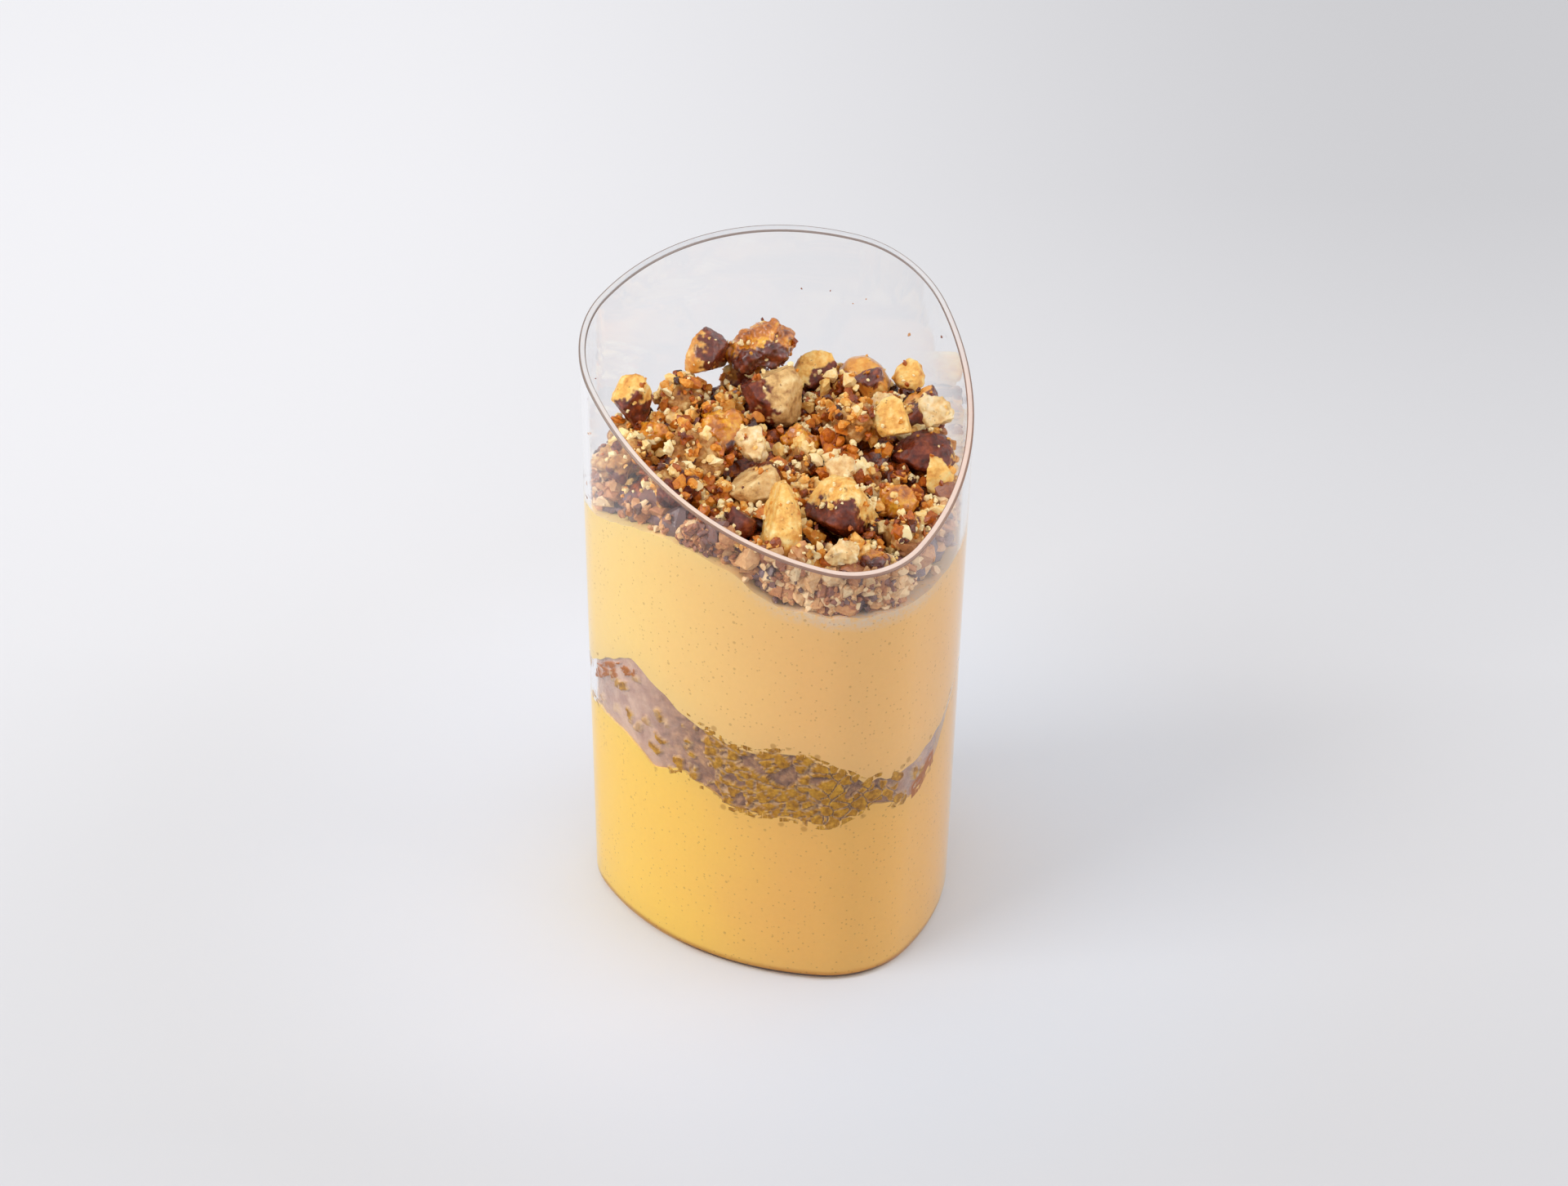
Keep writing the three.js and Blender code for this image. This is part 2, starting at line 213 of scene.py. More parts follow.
def makeCamera():
    camera = bpy.data.objects.new("photoCamera", bpy.data.cameras.new("photoCamera"))
    bpy.context.scene.collection.objects.link(camera)
    turn = (
        Matrix.Rotation(math.radians(-view["azimuth"]), 4, "Z")
        @ Matrix.Rotation(math.radians(90 - view["pitch"]), 4, "X")
        @ Matrix.Rotation(math.radians(view["roll"]), 4, "Z")
    )
    camera.matrix_world = Matrix.Translation(Vector(view["place"]) * mm) @ turn
    camera.data.sensor_width = view["sensor"]
    camera.data.lens = view["lens"]
    camera.data.clip_start = 0.01
    bpy.context.scene.camera = camera
    return turn.to_3x3()


viewTurn = makeCamera()
print("camera placed")


# Outline of the cup: three corner arcs and three side arcs, leaning out by the draft

cup = dict(
    cornerRadius=13.5, sideRadius=38.5, draftAngle=1.3, wall=1.0,
    lipHeight=72.0, backHeight=96.5, rimRound=0.3, rimSteps=4, hold=0.12,
    heelRound=1.5, heelSteps=6, footWidth=5.0, footHeight=0.3,
    floorThickness=0.8, floorFillet=1.2, filletSteps=6, spokes=240,
)
draft = math.tan(math.radians(cup["draftAngle"]))
cornerDistance = (cup["sideRadius"] - cup["cornerRadius"]) / math.sqrt(3)
lipReach = cornerDistance + cup["cornerRadius"] + draft * cup["lipHeight"]
backReach = cup["sideRadius"] - cornerDistance + draft * cup["backHeight"]
rimSlope = (cup["backHeight"] - cup["lipHeight"]) / (lipReach + backReach)
axisY = (lipReach - backReach) / 2  # the middle of the triangle stands behind the origin
floorTop = cup["footHeight"] + cup["floorThickness"]
thirdTurn = 2 * math.pi / 3
lowCorner = -math.pi / 2


def outlinePoint(bearing, offset):
    corner = lowCorner + thirdTurn * round((bearing - lowCorner) / thirdTurn)
    past = bearing - corner
    onCorner = abs(past) <= math.pi / 6
    centre = corner if onCorner else corner - math.copysign(thirdTurn, past)
    radius = (cup["cornerRadius"] if onCorner else cup["sideRadius"]) + offset
    return (
        cornerDistance * math.cos(centre) + radius * math.cos(bearing),
        axisY + cornerDistance * math.sin(centre) + radius * math.sin(bearing),
    )


def wallPoint(bearing, inset, height):
    x, y = outlinePoint(bearing, draft * height - inset)
    return Vector((x, y, height)) * mm


def wallGap(place):
    # room to the inner face of the wall and the way towards it, for a place in metres
    x, y, z = place.x / mm, place.y / mm - axisY, place.z / mm
    best = (1e9, Vector((0, 0, 0)))
    for turn in range(3):
        corner = lowCorner + thirdTurn * turn
        away = Vector((x - cornerDistance * math.cos(corner), y - cornerDistance * math.sin(corner), 0))
        heading = math.atan2(away.y, away.x)
        for radius, middle in ((cup["cornerRadius"], corner), (cup["sideRadius"], corner + math.pi)):
            past = math.remainder(heading - middle, 2 * math.pi)
            if abs(past) <= math.pi / 6 + 1e-6:
                room = radius + draft * z - cup["wall"] - away.length
                if room < best[0]:
                    best = (room, away.normalized())
    return best


def rimHeight(bearing, inset, drop):
    level = cup["lipHeight"] - drop + rimSlope * (outlinePoint(bearing, -inset)[1] - axisY + lipReach)
    return level / (1 - rimSlope * draft * math.sin(bearing))


def quarter(steps):
    return [math.pi / 2 * i / steps for i in range(steps + 1)]


def growSkin(name, spokes, levels):
    # a filled circle, extruded again and again onto the next level of (inset, height)
    restart()
    bpy.ops.mesh.primitive_circle_add(vertices=spokes, radius=cup["sideRadius"] * mm, fill_type="NGON")
    obj = bpy.context.object
    obj.name = name
    bpy.ops.object.mode_set(mode="EDIT")
    bpy.ops.mesh.select_all(action="SELECT")
    shell = bmesh.from_edit_mesh(obj.data)
    bearing = shell.verts.layers.float.new("bearing")
    for corner in shell.verts:
        corner[bearing] = math.atan2(corner.co.y, corner.co.x)
    for count, (inset, height) in enumerate(levels):
        if count:
            bpy.ops.mesh.extrude_region_move(TRANSFORM_OT_translate={"value": (0, 0, 0)})
        shell = bmesh.from_edit_mesh(obj.data)
        bearing = shell.verts.layers.float["bearing"]
        for corner in shell.verts:
            if corner.select:
                level = height(corner[bearing], inset) if callable(height) else height
                corner.co = wallPoint(corner[bearing], inset, level)
        bmesh.update_edit_mesh(obj.data)
    bpy.ops.mesh.select_all(action="SELECT")
    bpy.ops.mesh.normals_make_consistent(inside=False)
    leaveEdit()
    return obj


def polarAngle(bearing):
    x, y = outlinePoint(bearing, 0)
    return math.degrees(math.atan2(y - axisY, x)) % 360


def wallLine(points, wobble=0.0, spacing=3.0, seed=0.0):
    # closed line on the wall through (degrees, height) points, with a hand-spread waver
    count = len(points)

    def heightAt(bearing, inset=0):
        angle = polarAngle(bearing)
        after = next((i for i in range(count) if points[i][0] > angle), count)
        turns = [divmod(after + shift, count) for shift in (-2, -1, 0, 1)]
        marks = [(points[i][0] + 360 * lap, points[i][1]) for lap, i in turns]
        (a0, h0), (a1, h1), (a2, h2), (a3, h3) = marks
        share = (angle - a1) / (a2 - a1)
        slope1 = (h2 - h0) / (a2 - a0) * (a2 - a1)
        slope2 = (h3 - h1) / (a3 - a1) * (a2 - a1)
        square, cube = share * share, share ** 3
        height = (
            (2 * cube - 3 * square + 1) * h1 + (cube - 2 * square + share) * slope1
            + (3 * square - 2 * cube) * h2 + (cube - square) * slope2
        )
        x, y = outlinePoint(bearing, 0)
        return height + wobble * noise.noise(Vector((x / spacing, y / spacing, seed)))

    return heightAt


# Cup: one clear moulding with a foot ring, a rounded heel and floor and a slanted rim

clearPlastic = dict(
    IOR=1.57, Roughness=0.01, Base_Color=(1, 1, 1, 1), Transmission_Weight=1.0,
    Specular_Tint=(0.45, 0.45, 0.45, 1),  # little of the pale floor mirrored in front of the filling
    lampTint=(0.99, 0.99, 0.99, 1),  # what the walls take from light that passes them
)
rimPaintedLightAndShade = dict(  # cut edge, a little milky, with painted light: the dessert's colour carried up the clear wall in front and the pale backdrop behind
    pale=((236, 214, 203), (226, 226, 229)), line=((140, 108, 94), (138, 122, 114)),
    lineWidths=(0.16, 0.1),  # painted shade lines along the outer and the inner corner
   
    front=80.0, back=90.0,
)


heelEdge = dict(height=0.6, tints=((232, 180, 104), (250, 224, 178)), grain=6.0)  # painted light: the heel's lowest band given golden tints, as if lit through by the filling


def plasticMaterial():
    look = dict(clearPlastic)
    lampTint = look.pop("lampTint")
    material, tree, body = newMaterial("clearPlastic", **look)
    lamps = node(tree, "BsdfTransparent", {"Color": lampTint})
    path = node(tree, "LightPath")
    mixed = node(tree, "MixShader", {0: path.outputs["Is Shadow Ray"]})
    tree.links.new(body.outputs[0], mixed.inputs[1])
    tree.links.new(lamps.outputs[0], mixed.inputs[2])
    tree.links.new(mixed.outputs[0], tree.nodes["Material Output"].inputs["Surface"])
    return material


def rimMaterial():
    material, tree, body = newMaterial(
        "milkyRimPaintedLight", Roughness=0.2, IOR=1.57, Transmission_Weight=0.2, Subsurface_Weight=0.2,
        Subsurface_Radius=(1.0, 0.8, 0.7), Subsurface_Scale=0.5 * mm,
    )
    place = objectPlace(tree)
    height = node(tree, "SeparateXYZ", {0: place}).outputs["Z"]
    back = step(tree, height, rimPaintedLightAndShade["front"] * mm, rimPaintedLightAndShade["back"] * mm)
    # painted light: the dessert's tint in front and the backdrop's behind, with painted shade lines at both corners
    pale = blendColour(tree, back, *(tint(*colour) for colour in rimPaintedLightAndShade["pale"]))
    line = blendColour(tree, back, *(tint(*colour) for colour in rimPaintedLightAndShade["line"]))
    flecks = sums(tree, "MULTIPLY", grain(tree, place, 0.8, 3.0), 0.2)
    edge = step(tree, sums(tree, "ADD", readPaint(tree, "rimShadeLine"), flecks), 0.05, 0.95)
    tree.links.new(blendColour(tree, edge, pale, line), body.inputs["Base Color"])
    return material


def heelMaterial():
    material, tree, body = newMaterial(
        "milkyHeelPaintedLight", Roughness=0.25, IOR=1.57, Transmission_Weight=0.3, Subsurface_Weight=0.3,
        Subsurface_Radius=(1.0, 0.8, 0.6), Subsurface_Scale=1.0 * mm,
    )
    shade = grain(tree, objectPlace(tree), heelEdge["grain"], 2.0)
    dark, pale = (tint(*colour) for colour in heelEdge["tints"])
    # painted light: golden tints standing in for the filling's light coming through the heel
    tree.links.new(ramp(tree, shade, [(0.35, dark), (0.65, pale)]), body.inputs["Base Color"])
    return material


def finishRim(obj):
    # gives the slanted edge its own material with painted light, and a painted shade line along both of its corners
    drops, lines = [], []
    for corner in obj.data.vertices:
        place = corner.co / mm
        drops.append(cup["lipHeight"] + rimSlope * (place.y - axisY + lipReach) - place.z)
        inside = -wallGap(corner.co)[0]
        outer, inner = rimPaintedLightAndShade["lineWidths"]
        atOuter = between(cup["wall"] - inside, 2 * outer, outer)
        lines.append(max(atOuter, between(inside, 2 * inner, inner)))
    paint(obj, "rimShadeLine", lines)
    obj.data.materials.append(rimMaterial())
    obj.data.materials.append(heelMaterial())
    for side in obj.data.polygons:
        if max(drops[corner] for corner in side.vertices) < cup["rimRound"] + 0.05:
            side.material_index = 1
        if max(obj.data.vertices[corner].co.z for corner in side.vertices) < heelEdge["height"] * mm:
            side.material_index = 2


def makeCup():
    heelRound, rimRound, wall = cup["heelRound"], cup["rimRound"], cup["wall"]
    footInside = heelRound + cup["footWidth"]
    levels = [(footInside + cup["footHeight"], cup["footHeight"]), (footInside, 0.0)]
    for turn in quarter(cup["heelSteps"]):
        levels.append((heelRound * (1 - math.sin(turn)), heelRound * (1 - math.cos(turn))))
    levels.append((0, heelRound + cup["hold"]))  # loops beside each bend keep the wall's shading flat

    def onRim(drop):
        return lambda bearing, inset: rimHeight(bearing, inset, drop)

    rounding = [(1 - math.cos(turn), 1 - math.sin(turn)) for turn in quarter(cup["rimSteps"])]
    levels.append((0, onRim(rimRound + cup["hold"])))
    for aside, below in rounding:
        levels.append((rimRound * aside, onRim(rimRound * below)))
    for aside, below in reversed(rounding):
        levels.append((wall - rimRound * aside, onRim(rimRound * below)))
    fillet = cup["floorFillet"]
    levels.append((wall, onRim(rimRound + cup["hold"])))
    levels.append((wall, floorTop + fillet + cup["hold"]))
    for turn in reversed(quarter(cup["filletSteps"])):
        levels.append((wall + fillet * (1 - math.sin(turn)), floorTop + fillet * (1 - math.cos(turn))))
    obj = growSkin("cupBody", cup["spokes"], levels)
    smooth(obj, 35)
    dress(obj, plasticMaterial())
    finishRim(obj)
    declare(obj, "clear_plastic", "cup")


makeCup()
print("cup moulded")


# Two layers of mousse, wet against the wall

lines = dict(
    mousseTop=[
        (20, 65.2), (80, 64.6), (130, 65.4), (163, 67), (184, 70.2), (203, 72), (225, 70.3),
        (239, 66.5), (264, 64.7), (316, 64.4),
    ],
    bandTop=[
        (10, 36), (60, 37.5), (110, 38), (140, 38.5), (159, 40.2), (171, 43.7), (184, 47.3),
        (193, 45.6), (211, 41.9), (229, 39.8), (249, 40.3), (261, 37.8), (270, 35.4), (285, 35.3),
        (303, 37), (314, 39.6), (326, 42),
    ],
    bandBottom=[
        (10, 31.5), (60, 31), (110, 31.8), (140, 32.4), (162, 33), (183, 32.9), (194, 30.8),
        (208, 32.1), (227, 29.4), (243, 29.5), (258, 28.6), (270, 31.2), (285, 29.4),
        (298, 32), (306, 35.5), (314, 39), (326, 41.2),
    ],
)
praline = dict(
    spokes=720, rows=72, tucked=0.9,  # reach behind the mousse above and below
    airGap=0.28, crumbDepth=0.55, crumbSize=1.5, flakeSize=1.8, rustSize=1.3,
    thickCluster=(246, 52),  # heading and spread of the stretch where most crumbs touch
    rustCrest=(172, 22), rustStreak=(292, 11),
)
mousse = dict(
    spokes=320, overlap=0.03,  # how far the wet filling reaches into the wall's face
    shares=(0, 0.012, 0.03, 0.055, 0.09, 0.15, 0.25, 0.38, 0.5, 0.62, 0.75, 0.85, 0.91, 0.945, 0.97, 0.988, 1),
    crown=0.3, smearSide=(268, 52), smearDepth=2.6, dotReach=2.6,
    sunk=0.5,  # how far its bottom edge reaches into the thin floor
)
creams = dict(  # painted light and shade: colours on the key lamp's side and away from it
    lower=dict(near=(254, 216, 98), far=(246, 197, 110), dot=(156, 110, 50)),
    upper=dict(near=(252, 223, 148), far=(247, 203, 134), dot=(162, 118, 66)),
)
mousseTop = wallLine(lines["mousseTop"], 0.35, 2.5, 3.0)
bandTop = wallLine(lines["bandTop"], 0.7, 2.2, 11.0)
bandBottom = wallLine(lines["bandBottom"], 0.6, 2.6, 23.0)


def facing(angle, side):
    heading, spread = side
    past = abs(math.remainder(angle - heading, 360)) / spread
    return math.cos(math.pi / 2 * min(past, 1.0)) ** 2


def mousseMaterial(name, near, far, dot):
    material, tree, body = newMaterial(
        name, Roughness=0.5, Specular_IOR_Level=0.2, Subsurface_Weight=0.12,
        Subsurface_Radius=(1.0, 0.7, 0.35), Subsurface_Scale=1.2 * mm,
    )
    place = objectPlace(tree)
    turned = node(tree, "Mapping", {"Vector": place, "Rotation": (0, 0, math.radians(view["azimuth"]))})
    across = node(tree, "SeparateXYZ", {0: turned.outputs[0]}).outputs["X"]
    drift = sums(tree, "MULTIPLY", sums(tree, "SUBTRACT", grain(tree, place, 16, 2.0), 0.5), 0.012)
    # painted shade: away from the key lamp the cream turns to the darker far colour
    side = step(tree, sums(tree, "ADD", across, drift), -0.026, 0.004)
    colour = blendColour(tree, side, tint(*near), tint(*far))
    smear = sums(tree, "MULTIPLY", readPaint(tree, "smear"), step(tree, grain(tree, place, 0.7, 4.0, 0.7), 0.3, 0.62))
    colour = blendColour(tree, sums(tree, "MULTIPLY", smear, 0.85), colour, tint(228, 214, 202))
    fine = bubbles(tree, place, 0.6, 0.3, 0.3)
    large = bubbles(tree, place, 1.9, 0.14, 0.16)
    specks = sums(tree, "MULTIPLY", sums(tree, "MAXIMUM", fine, large), 0.36)
    specks = sums(tree, "ADD", specks, sums(tree, "MULTIPLY", grain(tree, place, 0.9, 5.0, 0.75), 0.12))
    colour = blendColour(tree, specks, colour, tint(*dot))
    beside = sums(tree, "MULTIPLY", readPaint(tree, "dots"), 0.6)
    stuck = bubbles(tree, place, 1.25, beside, 0.5)
    colour = blendColour(tree, sums(tree, "MULTIPLY", stuck, 0.55), colour, tint(176, 124, 44))
    tree.links.new(colour, body.inputs["Base Color"])
    bump(tree, body, grain(tree, place, 0.5, 4.0, 0.7), 0.03, 0.3)
    return material


def markMousse(obj):
    # where crumbs stick beside the praline, and where the top edge is smeared pale
    dots, smears = [], []
    for corner in obj.data.vertices:
        away = wallGap(corner.co)[1]
        bearing, height = math.atan2(away.y, away.x), corner.co.z / mm
        angle = polarAngle(bearing)
        past = max(height - bandTop(bearing), bandBottom(bearing) - height)
        crowd = 0.25 + 0.75 * facing(angle, praline["thickCluster"])
        dots.append(crowd * between(past, mousse["dotReach"], 0))
        below = mousseTop(bearing) - height
        smears.append(facing(angle, mousse["smearSide"]) * between(below, mousse["smearDepth"], 0.5))
    paint(obj, "dots", dots)
    paint(obj, "smear", smears)


def blendHeight(low, high, share):
    return lambda bearing, inset: (1 - share) * low(bearing) + share * high(bearing)


def makeLowerMousse():
    wet = cup["wall"] - mousse["overlap"]
    fillet = cup["floorFillet"]
    levels = []
    for turn in quarter(cup["filletSteps"]):
        height = floorTop - mousse["sunk"] + fillet * (1 - math.cos(turn))
        levels.append((wet + fillet * (1 - math.sin(turn)), height))
    start = levels[-1][1]
    levels += [(wet, blendHeight(lambda bearing: start, bandBottom, share)) for share in mousse["shares"][1:]]
    levels += [(inset, lambda bearing, inset: bandBottom(bearing) - 0.6) for inset in (4, 9)]
    obj = growSkin("lowerMousse", mousse["spokes"], levels)
    markMousse(obj)
    smooth(obj, 60)
    dress(obj, mousseMaterial("lowerMousseCream", **creams["lower"]))
    declare(obj, "lower_mousse", "lower_mousse")


def makeUpperMousse():
    wet = cup["wall"] - mousse["overlap"]
    levels = [(inset, lambda bearing, inset: bandTop(bearing) + 0.6) for inset in (9, 4)]
    levels += [(wet, blendHeight(bandTop, mousseTop, share)) for share in mousse["shares"]]
    levels += [(inset, lambda bearing, inset: mousseTop(bearing) - mousse["crown"]) for inset in (4, 9)]
    obj = growSkin("upperMousse", mousse["spokes"], levels)
    markMousse(obj)
    smooth(obj, 60)
    dress(obj, mousseMaterial("upperMousseCream", **creams["upper"]))
    declare(obj, "upper_mousse", "upper_mousse")


makeLowerMousse()
makeUpperMousse()
print("mousse poured")


# Praline layer: crushed nuts that touch the wall only in spots, with air between

def pralineMaterial():
    material, tree, body = newMaterial(
        "pressedPraline", Roughness=0.6, Specular_IOR_Level=0.2, Subsurface_Weight=0.1,
        Subsurface_Radius=(1.0, 0.5, 0.25), Subsurface_Scale=0.8 * mm,
    )
    place = objectPlace(tree)
    wet, rust = readPaint(tree, "wet"), readPaint(tree, "rust")
    smear, rim = readPaint(tree, "smear"), readPaint(tree, "spotRimHighlight")
    crumbs = ramp(tree, grain(tree, place, 1.7, 4.0, 0.65), [
        (0.3, tint(98, 66, 52)), (0.5, tint(144, 102, 76)), (0.68, tint(190, 144, 100))])
    creamy = ramp(tree, grain(tree, place, 2.6, 3.0), [
        (0.35, tint(168, 128, 112)), (0.65, tint(204, 168, 146))])
    dry = blendColour(tree, smear, crumbs, creamy)
    oily = ramp(tree, grain(tree, place, 0.8, 3.0, 0.6), [
        (0.32, tint(142, 92, 8)), (0.5, tint(186, 132, 20)), (0.7, tint(220, 170, 52))])
    colour = blendColour(tree, wet, dry, oily)
    # painted highlight: a pale line round the edge of each wet spot
    colour = blendColour(tree, sums(tree, "MULTIPLY", rim, 0.35), colour, tint(226, 196, 160))
    colour = blendColour(tree, step(tree, rust, 0.3, 0.6), colour, tint(176, 100, 0))
    tree.links.new(colour, body.inputs["Base Color"])
    bump(tree, body, grain(tree, place, 0.45, 4.0, 0.7), 0.12, 0.6)
    return material


def flakes(place, size, share):
    # how firmly a place lies on one of the flakes that touch the wall, a share of all of them
    bent = place + 0.5 * noise.noise_vector(place / 1.6)
    distances, middles = noise.voronoi(bent / size)
    chance = math.sin(middles[0].dot(Vector((12.99, 78.23, 37.72)))) * 43758.5 % 1.0
    return between(share - chance, 0, 0.05) * between(distances[1] - distances[0], -0.03, 0.12)


def pressPraline(obj):
    # pushes the crumbs of the side back from the wall, and some spots out against it
    marks = {"wet": [], "rust": [], "smear": [], "spotRimHighlight": []}
    for corner in obj.data.vertices:
        place = corner.co / mm
        room, away = wallGap(corner.co)
        angle = math.degrees(math.atan2(place.y - axisY, place.x)) % 360
        bearing = math.atan2(away.y, away.x)
        below, above = place.z - bandBottom(bearing), bandTop(bearing) - place.z
        cluster = facing(angle, praline["thickCluster"])
        smear = max(facing(angle, (180, 42)), 0.7 * facing(angle, (292, 22)))
        patches = between(noise.noise(place / 3.2 + Vector((2, 5, 1))), -0.45, 0.1)
        wet = flakes(place, praline["flakeSize"], 0.12 + 1.5 * cluster * patches)
        rim = wet * (1 - wet) * 4
        crest = facing(angle, praline["rustCrest"]) * between(above, 0.5, 1.1) * between(above, 3.8, 2.6)
        streak = facing(angle, praline["rustStreak"]) * between(below, 2.3, 1.2)
        fleck = noise.noise(place / 0.75 + Vector((7, 3, 1)))
        rust = max(
            flakes(place, praline["rustSize"], 0.5 * between(crest, 0.05, 0.5)),
            between(streak, 0.2, 0.45) * between(fleck, -0.5, -0.2))
        touch = between(max(wet, rust), 0.25, 0.55)
        if room < 1.0:
            lump = abs(noise.noise(place / praline["crumbSize"])) + 0.4 * abs(noise.noise(place / 0.6))
            depth = praline["airGap"] + praline["crumbDepth"] * lump * (1 - 0.7 * smear)
            depth = depth * (1 - touch) - mousse["overlap"] * touch
            corner.co += away * (room - depth) * mm
        for name, value in (("wet", wet), ("rust", rust), ("smear", smear), ("spotRimHighlight", rim)):
            marks[name].append(value)
    for name, values in marks.items():
        paint(obj, name, values)


def makePralineLayer():
    tucked, rows = praline["tucked"], praline["rows"]
    inset = cup["wall"] + praline["airGap"]
    levels = [(side, lambda bearing, inset: bandBottom(bearing) - tucked) for side in (9, 4)]
    for row in range(rows + 1):
        share = row / rows
        levels.append((inset, lambda bearing, inset, share=share: (
            (1 - share) * (bandBottom(bearing) - tucked) + share * (bandTop(bearing) + tucked))))
    levels += [(side, lambda bearing, inset: bandTop(bearing) + tucked) for side in (4, 9)]
    obj = growSkin("pralineLayer", praline["spokes"], levels)
    pressPraline(obj)
    smooth(obj, 60)
    dress(obj, pralineMaterial())
    declare(obj, "praline", "praline_layer")


makePralineLayer()
print("praline pressed")


# Larger pieces of the topping: broken nuts, praline lumps and caramel.
# Each keeps its node's place; skinSide is the side with skin or glaze as the photograph
# shows it (right, up, near), and bare is how much of the piece shows its flesh.

fleshes = {  # dark to pale, rounds of smoothing, relief as (size, depth), where chips break off
    "orange": dict(
        colours=((204, 116, 30), (238, 162, 60), (248, 196, 98)),
        rounds=24, lump=(3.0, 0.35), chip=(0.7, 0.08), breaks=None),
    "kernel": dict(
        colours=((200, 112, 30), (236, 160, 62), (250, 204, 120)),
        rounds=3, lump=(2.0, 0.5), chip=(0.6, 0.18), breaks=(0.45, 0.8)),
    "wedge": dict(
        colours=((200, 112, 30), (236, 164, 68), (250, 208, 126)),
        rounds=2, lump=(2.0, 0.3), chip=(0.6, 0.18), breaks=(0.3, 0.62)),
    "yellow": dict(
        colours=((206, 124, 42), (244, 188, 94), (252, 226, 156)),
        rounds=2, lump=(1.8, 0.5), chip=(0.6, 0.22), breaks=(0.45, 0.8)),
    "ivory": dict(
        colours=((214, 158, 90), (244, 208, 146), (252, 236, 200)),
        rounds=1, lump=(1.3, 0.8), chip=(0.5, 0.35), breaks=(0.32, 0.66)),
    "beige": dict(
        colours=((160, 106, 52), (226, 180, 112), (246, 216, 156)),
        rounds=3, lump=(2.0, 0.35), chip=(0.5, 0.16), breaks=(0.5, 0.82)),
    "amber": dict(
        colours=((150, 72, 4), (222, 134, 14), (252, 190, 52)),
        rounds=2, lump=(1.7, 1.3), chip=(0.6, 0.3), breaks=(0.4, 0.75)),
    "toffee": dict(
        colours=((118, 50, 4), (214, 124, 10), (254, 194, 60)),
        rounds=2, lump=(2.6, 2.6), chip=(0.7, 0.35), breaks=(0.45, 0.8)),
    "cluster": dict(
        colours=((112, 60, 18), (184, 122, 52), (228, 194, 130)),
        rounds=1, lump=(2.2, 1.6), chip=(0.6, 0.5), breaks=(0.5, 0.82)),
}
glazed = ("amber", "orange", "kernel", "wedge", "toffee")
webs = {"caramel_lump_6": [((-4.3, -0.8, 0.4), 2.0), ((-2.6, -2.2, 1.0), 2.2)]}  # caramel to the next nut
pieces = {
    "hazelnut_half_1": ("orange", (0, -1, -0.3), 0.95),
    "hazelnut_half_2": ("yellow", (-0.2, 0.5, 0.6), -0.25),
    "hazelnut_half_3": ("beige", (0.5, 0.5, -0.6), 0.35),
    "hazelnut_half_4": ("wedge", (0.9, 0.1, 0.3), 0.0),
    "hazelnut_chunk_1": ("beige", (-0.9, -0.2, 0.2), 0.2),
    "hazelnut_chunk_2": ("yellow", (0.7, -0.7, 0.2), 0.05),
    "hazelnut_chunk_3": ("kernel", (-0.3, 0.8, 0.3), 0.1),
    "hazelnut_chunk_4": ("kernel", (0.5, -0.2, 0.6), -0.1),
    "hazelnut_chunk_5": ("yellow", (0.1, -0.9, 0.3), 0.0),
    "hazelnut_chunk_6": ("beige", (0.2, 0.3, 0.5), -0.5),
    "hazelnut_chunk_7": ("yellow", (0.6, -0.6, -0.4), 0.8),
    "hazelnut_chunk_8": ("yellow", (-0.8, -0.4, 0.1), 0.7),
    "praline_lump_1": ("yellow", (-0.25, -0.6, 0.5), 0.2),
    "praline_lump_2": ("cluster", (0.2, 0.6, 0.5), 0.6),
    "praline_lump_3": ("cluster", (-0.4, -0.6, 0.3), 0.55),
    "praline_lump_4": ("cluster", (0, -1, 0), 0.7),
    "praline_lump_5": ("cluster", (0, -1, 0), 0.7),
    "praline_lump_6": ("cluster", (0, -1, 0.2), 0.4),
    "praline_lump_7": ("cluster", (0.3, -0.4, 0.6), 0.2),
    "praline_lump_8": ("cluster", (0.4, -0.7, 0.5), 0.2),
    "praline_lump_9": ("cluster", (0, -1, 0), 0.5),
    "praline_lump_10": ("cluster", (0, -1, 0), 0.5),
    "caramel_lump_1": ("amber", (0.3, -0.8, 0.3), 0.6),
    "caramel_lump_2": ("amber", (0, -1, 0.3), 0.5),
    "caramel_lump_3": ("amber", (0, -0.3, 0.8), 0.2),
    "caramel_lump_4": ("amber", (0, -1, 0), 0.7),
    "caramel_lump_5": ("amber", (0, -1, 0), 0.6),
    "caramel_lump_6": ("toffee", (0.2, -0.8, 0.5), 0.2),
    "nut_crumb_1": ("ivory", (0, -1, 0), 0.9),
    "nut_crumb_2": ("ivory", (0, -1, 0), 0.9),
    "nut_crumb_3": ("ivory", (0, -1, 0), 0.9),
    "nut_crumb_4": ("cluster", (0, -1, 0), 0.8),
    "nut_crumb_5": ("ivory", (0, -1, 0), 0.8),
    "nut_crumb_6": ("cluster", (0, -1, 0), 0.8),
    "nut_sliver_1": ("yellow", (-1, -0.6, 0), 0.75),
    "nut_sliver_2": ("ivory", (-0.8, 0.2, 0.3), 0.25),
    "nut_sliver_3": ("ivory", (1, -0.5, 0), 0.8),
    "nut_sliver_4": ("yellow", (0, -1, 0), 0.8),
}
slotOf = {
    "hazelnut_half": "hazelnut_skin", "hazelnut_chunk": "hazelnut_flesh", "praline_lump": "praline",
    "caramel_lump": "caramel", "nut_crumb": "pale_nut", "nut_sliver": "pale_nut",
}
nuts = dict(voxel=0.22, swell=1.12, chips=7)  # voxel in millimetres
cuts = {  # breaks seen in the photograph: the way they face (right, up, near) and how far out they lie
    "nut_sliver_1": [
        ((-0.86, 0.5, 0.1), 0.56), ((0.9, 0.42, 0.1), 0.5), ((-0.62, 0.1, 0.78), 0.5),
        ((0.62, 0.1, 0.78), 0.5), ((-1, 0.05, 0.2), 0.56), ((1, -0.05, 0.2), 0.54)],
}


